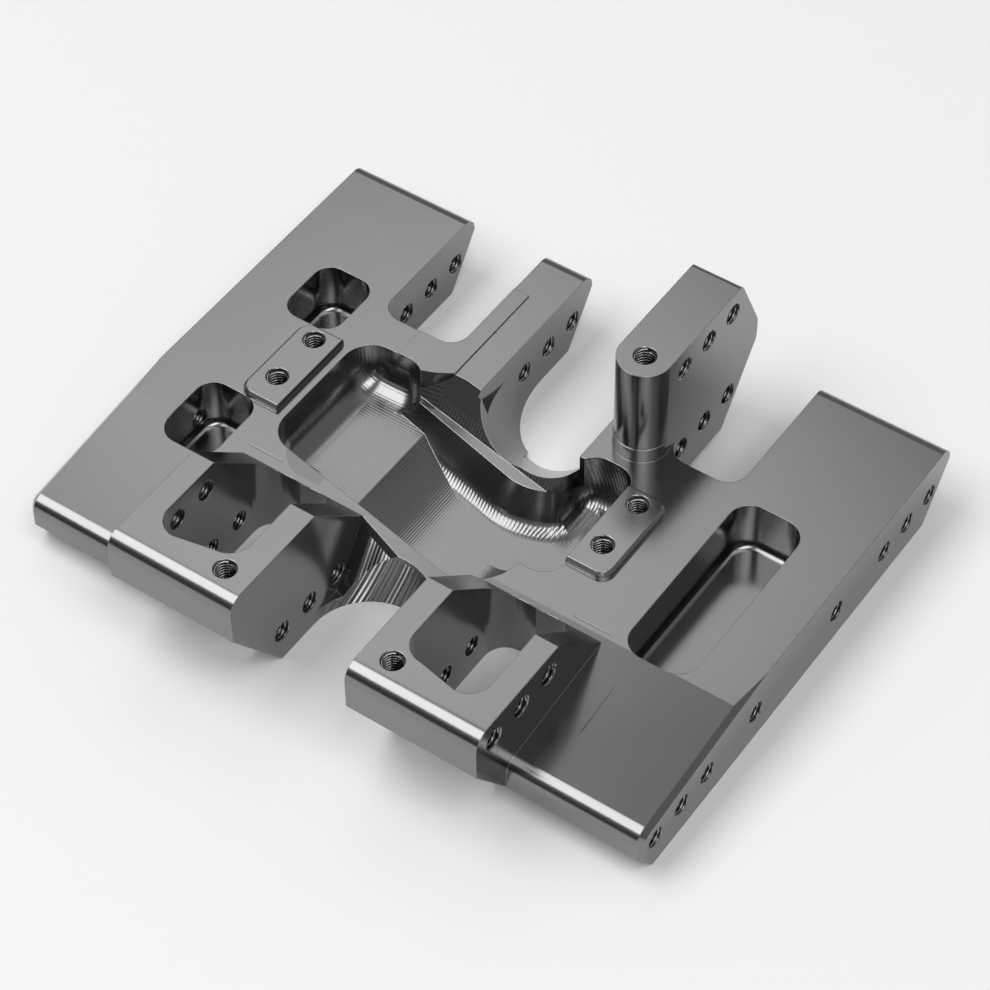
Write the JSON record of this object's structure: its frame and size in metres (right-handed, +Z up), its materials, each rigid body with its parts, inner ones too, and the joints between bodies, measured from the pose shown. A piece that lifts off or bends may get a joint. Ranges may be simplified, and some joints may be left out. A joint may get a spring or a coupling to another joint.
{
  "type": "skid plate",
  "caption": "Milled aluminium skid plate with slots and threaded holes for suspension links, a sump for a gearbox, a middle opening and raised rear yokes.",
  "frame": {"origin": "centre of the outline's box, on the flat underside", "axes": "+X to the right wing, +Y to the front with the slots and the post, +Z up"},
  "size_m": [0.098, 0.0826, 0.0276],
  "materials": {
    "anodised_aluminium": "satin grey anodised, with fine milling marks"
  },
  "bodies": {
    "root": {"skid_plate": "anodised_aluminium"}
  },
  "joints": []
}
